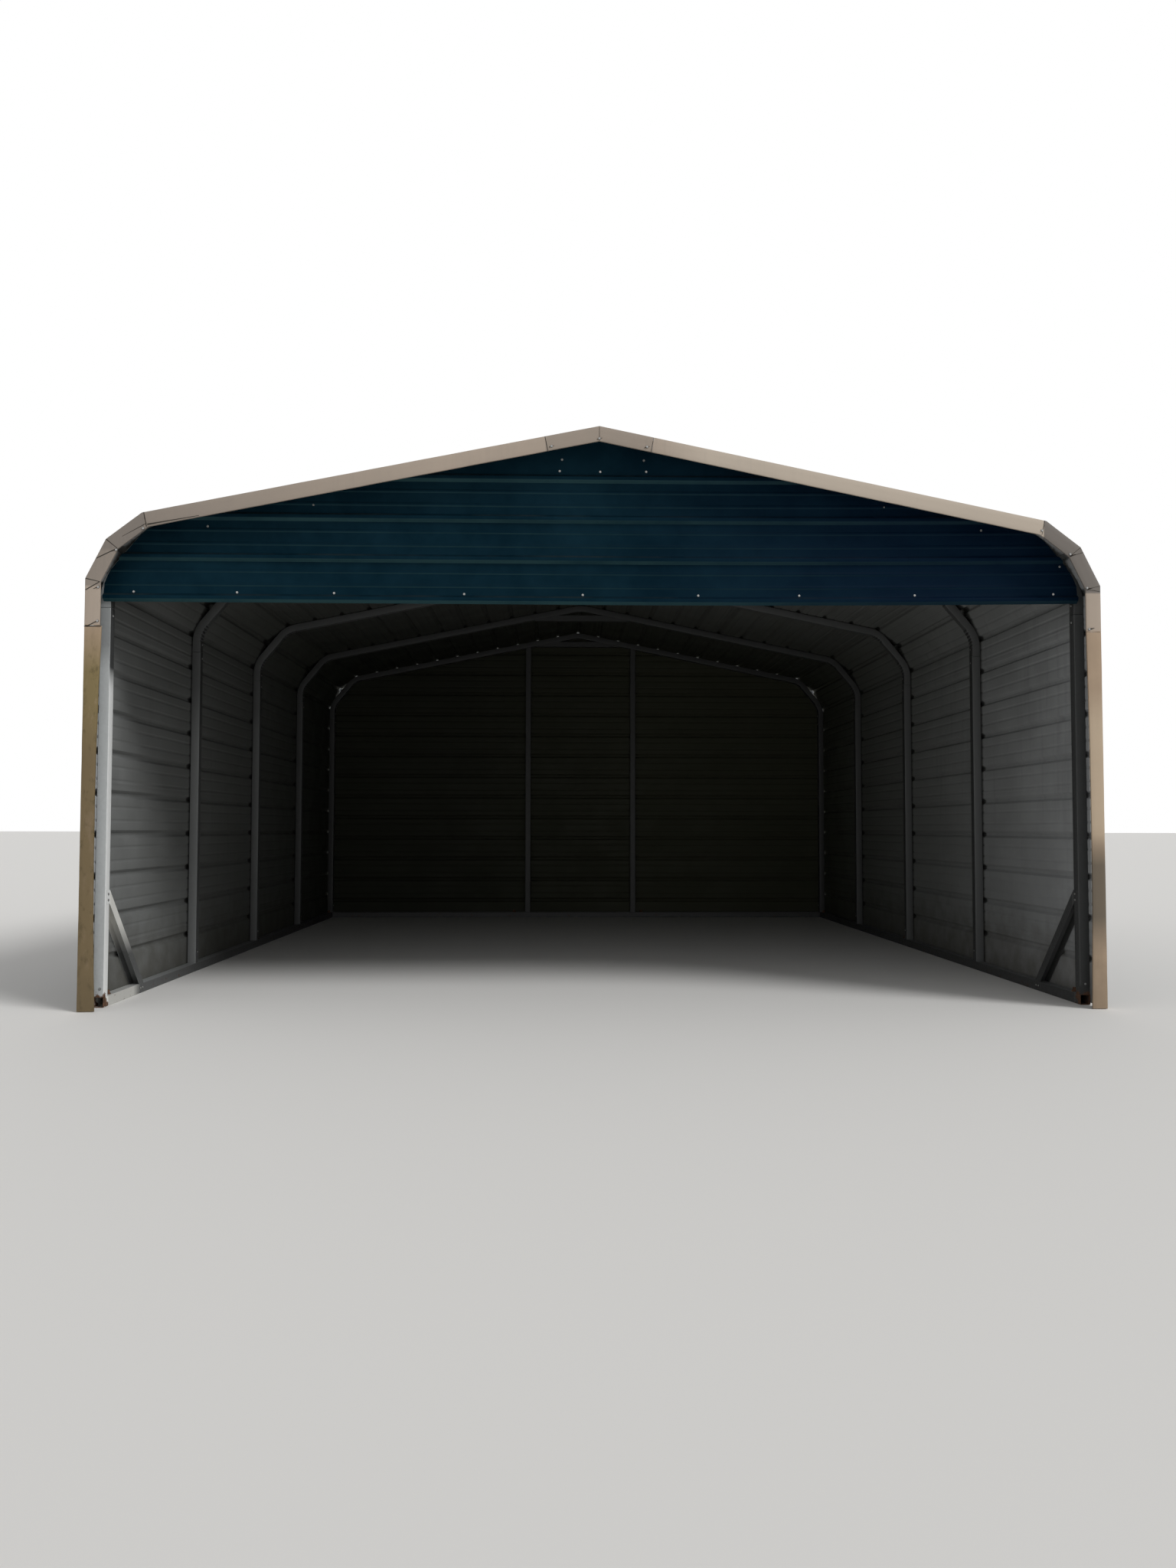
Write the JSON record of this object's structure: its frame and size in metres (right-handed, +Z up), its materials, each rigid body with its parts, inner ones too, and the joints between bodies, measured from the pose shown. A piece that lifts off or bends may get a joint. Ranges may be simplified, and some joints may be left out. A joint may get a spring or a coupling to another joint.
{
  "type": "carport",
  "caption": "Steel tube carport with ribbed metal sheeting on both sides, back and roof, a closed front gable and folded edge trim.",
  "frame": {"origin": "on the ground at the middle of the plan", "axes": "+Y from the open front to the closed back, +Z up"},
  "size_m": [5.5322, 6.404, 3.1805],
  "materials": {
    "galvanised_tube": "dull galvanised",
    "sheeting": "dark green outside, off-white inside",
    "edge_trim": "tan, satin"
  },
  "bodies": {
    "root": {"back_base_rail": "galvanised_tube", "back_post_left": "galvanised_tube", "back_post_right": "galvanised_tube", "back_trim": "edge_trim", "back_wall_sheet_1": "sheeting", "back_wall_sheet_2": "sheeting", "back_wall_sheet_3": "sheeting", "back_wall_sheet_4": "sheeting", "front_brace_left": "galvanised_tube", "front_brace_right": "galvanised_tube", "front_corner_trim_left": "edge_trim", "front_corner_trim_right": "edge_trim", "front_gable_sheet": "sheeting", "front_leg_trim_left": "edge_trim", "front_leg_trim_right": "edge_trim", "front_roof_trim": "edge_trim", "gable_header": "galvanised_tube", "left_base_rail": "galvanised_tube", "left_corner_sheet_1": "sheeting", "left_leg_1": "galvanised_tube", "left_leg_2": "galvanised_tube", "left_leg_3": "galvanised_tube", "left_leg_4": "galvanised_tube", "left_leg_5": "galvanised_tube", "left_roof_sheet_1": "sheeting", "left_roof_sheet_2": "sheeting", "left_wall_sheet_1": "sheeting", "left_wall_sheet_2": "sheeting", "left_wall_sheet_3": "sheeting", "peak_braces": "galvanised_tube", "ridge_sheet": "sheeting", "right_base_rail": "galvanised_tube", "right_corner_sheet_1": "sheeting", "right_leg_1": "galvanised_tube", "right_leg_2": "galvanised_tube", "right_leg_3": "galvanised_tube", "right_leg_4": "galvanised_tube", "right_leg_5": "galvanised_tube", "right_roof_sheet_1": "sheeting", "right_roof_sheet_2": "sheeting", "right_wall_sheet_1": "sheeting", "right_wall_sheet_2": "sheeting", "right_wall_sheet_3": "sheeting", "roof_bow_1": "galvanised_tube", "roof_bow_2": "galvanised_tube", "roof_bow_3": "galvanised_tube", "roof_bow_4": "galvanised_tube", "roof_bow_5": "galvanised_tube"}
  },
  "joints": []
}
